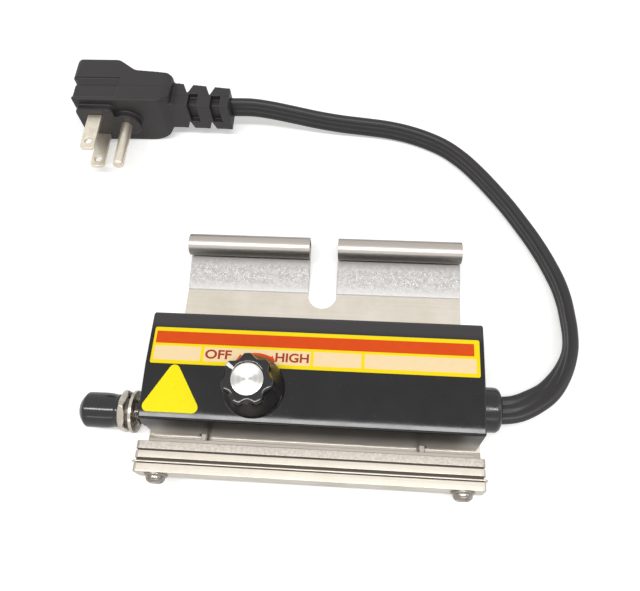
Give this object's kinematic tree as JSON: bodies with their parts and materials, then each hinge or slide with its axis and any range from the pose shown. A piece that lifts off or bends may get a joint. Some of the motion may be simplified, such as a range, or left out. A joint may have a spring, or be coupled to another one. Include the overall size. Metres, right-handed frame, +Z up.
{
  "type": "hook-on bar heater",
  "caption": "Black hook-on bar heater with a fluted control knob, a steel bar stack on a hooked base sheet, a side stud with a vinyl cap and a flat mains lead with a right-angle plug.",
  "frame": {"origin": "underside of the base sheet, under the middle of the cover's width and depth", "axes": "X to the right along the bars and the hooks, Y from the bars to the hooks, Z up out of the base sheet towards the knob"},
  "size_m": [0.2145, 0.1812, 0.0391],
  "materials": {
    "stainless_sheet": "cold rolled stainless sheet, bent and rolled",
    "black_enamel": "satin-gloss black enamel on steel sheet",
    "plated_steel": "nickel plated steel",
    "label_print": "printed gloss label film",
    "sticker_vinyl": "plain yellow vinyl sticker",
    "bar_steel": "ground steel bar",
    "mica": "mica laminate",
    "phenolic": "moulded brown phenolic",
    "brass_tab": "stamped brass",
    "nylon": "moulded natural nylon",
    "spring_steel": "oiled spring steel",
    "knob_phenolic": "moulded black phenolic",
    "spun_aluminium": "spun aluminium disc",
    "white_paint": "white paint fill",
    "black_vinyl": "dip-moulded gloss black vinyl",
    "wire_black": "extruded wire insulation",
    "wire_red": "extruded wire insulation",
    "wire_white": "extruded wire insulation",
    "wire_green": "extruded wire insulation",
    "glass_sleeve": "varnished glass braid",
    "gland_nylon": "moulded black nylon",
    "cord_pvc": "extruded ribbed black vinyl",
    "plug_pvc": "moulded matt black vinyl",
    "blade_nickel": "nickel plated brass blades"
  },
  "bodies": {
    "heater": {"hook_sheet": "stainless_sheet", "cover": "black_enamel", "cover_rivets": "plated_steel", "label_plate": "label_print", "corner_sticker": "sticker_vinyl", "rear_bar": "bar_steel", "rear_mica": "mica", "heat_bar": "bar_steel", "heating_element": "mica", "heat_shim": "bar_steel", "front_mica": "mica", "front_bar": "bar_steel", "bar_screws": "plated_steel", "control_case": "phenolic", "control_plate": "plated_steel", "control_tabs": "brass_tab", "panel_washer": "spring_steel", "panel_nut": "plated_steel", "side_stud": "plated_steel", "stud_collar": "plated_steel", "stud_washer": "plated_steel", "stud_lock_washer": "spring_steel", "stud_nut": "plated_steel", "tab_sleeves": "nylon", "thermal_cutout": "brass_tab", "splice_cap": "nylon", "earth_stud": "plated_steel", "earth_lug": "brass_tab", "earth_nut": "plated_steel", "lead_live": "wire_black", "lead_load": "wire_red", "lead_neutral": "wire_white", "lead_earth": "wire_green", "heater_leads": "glass_sleeve", "gland_body": "gland_nylon", "gland_clamp": "gland_nylon", "power_cord": "cord_pvc", "plug_body": "plug_pvc", "plug_relief": "plug_pvc", "plug_blades": "blade_nickel", "plug_pin": "blade_nickel"},
    "knob": {"knob": "knob_phenolic", "knob_inlay": "spun_aluminium", "knob_pointer": "white_paint", "knob_set_screw": "spring_steel", "control_shaft": "plated_steel", "control_cam": "nylon"},
    "cap": {"stud_cap": "black_vinyl"}
  },
  "joints": [
    {"name": "knob_turn", "type": "hinge", "parent": "heater", "child": "knob", "pos_m": [-0.0203, -0.0078, 0.0241], "axis": [0, -0.1045, 0.9945], "range_deg": [-120, 0]},
    {"name": "cap_pull", "type": "slide", "parent": "heater", "child": "cap", "axis": [-1, 0, 0], "range_m": [0, 0.016]}
  ]
}
